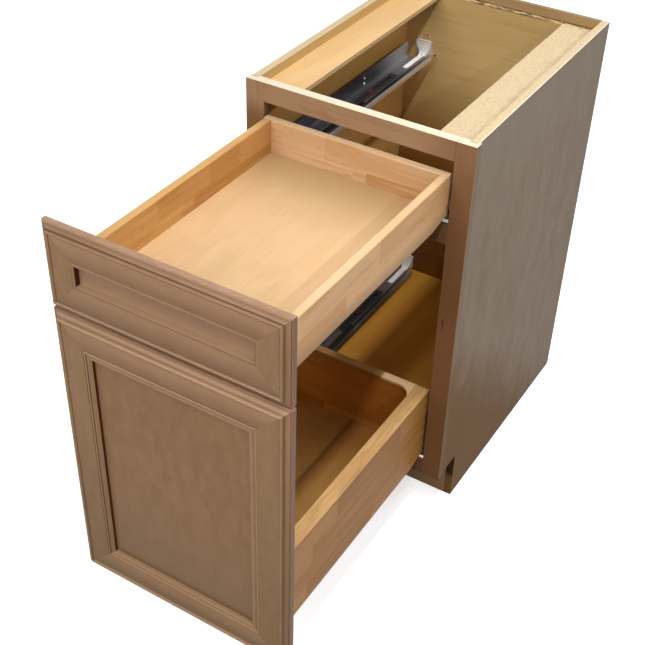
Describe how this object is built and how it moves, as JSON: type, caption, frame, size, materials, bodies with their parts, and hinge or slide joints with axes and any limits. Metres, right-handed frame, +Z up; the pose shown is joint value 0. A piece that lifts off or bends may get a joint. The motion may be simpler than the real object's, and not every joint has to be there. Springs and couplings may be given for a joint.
{
  "type": "pull-out waste cabinet",
  "caption": "Framed kitchen base cabinet with a dovetailed drawer over a door-fronted pull-out box whose rim holds waste bins, both on soft-close undermount slides.",
  "frame": {"origin": "on the floor, under the middle of the cabinet with its drawer and pull-out fully open", "axes": "+X to the right seen from the front, +Y to the back, the way the drawers close, +Z up"},
  "size_m": [0.4572, 1.1576, 0.8763],
  "materials": {
    "finished_ply": "taupe-stained veneer, satin",
    "stained_frame": "brown-taupe stained maple, satin",
    "stained_front": "brown-taupe stained maple with a darker glaze, satin",
    "maple_ply": "clear-coated maple plywood",
    "raw_ply": "raw plywood",
    "box_ply": "clear-coated light maple plywood",
    "rim_ply": "clear-coated plywood",
    "rubberwood": "clear-coated finger-jointed hardwood",
    "zinc_steel": "zinc-plated sheet steel",
    "dark_steel": "dark rolled steel with black bearing strips",
    "black_plastic": "matte",
    "orange_plastic": "matte",
    "white_plastic": "matte",
    "grey_plastic": "matte"
  },
  "bodies": {
    "cabinet": {"back_panel": "maple_ply", "bin_left_fixed_rail": "zinc_steel", "bin_rear_brackets": "white_plastic", "bin_right_fixed_rail": "zinc_steel", "bin_soft_close_housings": "black_plastic", "bottom_back_rail": "raw_ply", "bottom_rail": "stained_frame", "cabinet_floor": "maple_ply", "drawer_left_fixed_rail": "zinc_steel", "drawer_rear_brackets": "white_plastic", "drawer_right_fixed_rail": "zinc_steel", "drawer_soft_close_housings": "black_plastic", "left_side_panel": "finished_ply", "left_stile": "stained_frame", "left_top_plank": "raw_ply", "mid_rail": "stained_frame", "right_side_panel": "finished_ply", "right_stile": "stained_frame", "right_top_plank": "raw_ply", "toe_kick_board": "maple_ply", "top_back_rail": "raw_ply", "top_rail": "stained_frame"},
    "top_drawer": {"drawer_box_back": "rubberwood", "drawer_box_bottom": "box_ply", "drawer_box_front": "rubberwood", "drawer_box_left_side": "rubberwood", "drawer_box_right_side": "rubberwood", "drawer_front_bottom_rail": "stained_front", "drawer_front_left_stile": "stained_front", "drawer_front_panel": "stained_front", "drawer_front_right_stile": "stained_front", "drawer_front_top_rail": "stained_front", "drawer_left_drawer_runner": "dark_steel", "drawer_lock_clips": "grey_plastic", "drawer_right_drawer_runner": "dark_steel"},
    "bin_pullout": {"bin_box_back": "rubberwood", "bin_box_bottom": "box_ply", "bin_box_front": "rubberwood", "bin_box_left_side": "rubberwood", "bin_box_right_side": "rubberwood", "bin_holder_rim": "rim_ply", "bin_left_drawer_runner": "dark_steel", "bin_lock_clips": "grey_plastic", "bin_right_drawer_runner": "dark_steel", "door_bottom_rail": "stained_front", "door_left_stile": "stained_front", "door_panel": "stained_front", "door_right_stile": "stained_front", "door_top_rail": "stained_front"},
    "drawer_middle_runner_pair": {"drawer_middle_runners": "dark_steel"},
    "bin_middle_runner_pair": {"bin_middle_runners": "dark_steel"},
    "drawer_catch_pair": {"drawer_soft_close_catches": "orange_plastic"},
    "bin_catch_pair": {"bin_soft_close_catches": "orange_plastic"},
    "bin_left_release_lever": {"bin_left_release_lever": "grey_plastic"},
    "bin_right_release_lever": {"bin_right_release_lever": "grey_plastic"},
    "drawer_left_release_lever": {"drawer_left_release_lever": "grey_plastic"},
    "drawer_right_release_lever": {"drawer_right_release_lever": "grey_plastic"}
  },
  "joints": [
    {"name": "drawer_slide", "type": "slide", "parent": "cabinet", "child": "top_drawer", "axis": [0, 1, 0], "range_m": [0, 0.52655]},
    {"name": "drawer_middle_slide", "type": "slide", "parent": "cabinet", "child": "drawer_middle_runner_pair", "axis": [0, 1, 0], "range_m": [0, 0.26327]},
    {"name": "drawer_catch_slide", "type": "slide", "parent": "cabinet", "child": "drawer_catch_pair", "axis": [0, 1, 0], "range_m": [0, 0.08]},
    {"name": "drawer_left_lever_hinge", "type": "hinge", "parent": "top_drawer", "child": "drawer_left_release_lever", "pos_m": [-0.12235, -0.49985, 0.7243], "axis": [0, 0, -1], "range_deg": [0, 12], "stiffness_Nm_per_rad": 0.05},
    {"name": "drawer_right_lever_hinge", "type": "hinge", "parent": "top_drawer", "child": "drawer_right_release_lever", "pos_m": [0.12235, -0.49985, 0.7243], "axis": [0, 0, 1], "range_deg": [0, 12], "stiffness_Nm_per_rad": 0.05},
    {"name": "bin_slide", "type": "slide", "parent": "cabinet", "child": "bin_pullout", "axis": [0, 1, 0], "range_m": [0, 0.52655]},
    {"name": "bin_middle_slide", "type": "slide", "parent": "cabinet", "child": "bin_middle_runner_pair", "axis": [0, 1, 0], "range_m": [0, 0.26327]},
    {"name": "bin_catch_slide", "type": "slide", "parent": "cabinet", "child": "bin_catch_pair", "axis": [0, 1, 0], "range_m": [0, 0.08]},
    {"name": "bin_left_lever_hinge", "type": "hinge", "parent": "bin_pullout", "child": "bin_left_release_lever", "pos_m": [-0.12235, -0.49985, 0.1618], "axis": [0, 0, -1], "range_deg": [0, 12], "stiffness_Nm_per_rad": 0.05},
    {"name": "bin_right_lever_hinge", "type": "hinge", "parent": "bin_pullout", "child": "bin_right_release_lever", "pos_m": [0.12235, -0.49985, 0.1618], "axis": [0, 0, 1], "range_deg": [0, 12], "stiffness_Nm_per_rad": 0.05}
  ],
  "couplings": [
    {"joint": "drawer_middle_slide", "follows": "drawer_slide", "ratio": 0.5},
    {"joint": "bin_middle_slide", "follows": "bin_slide", "ratio": 0.5}
  ]
}
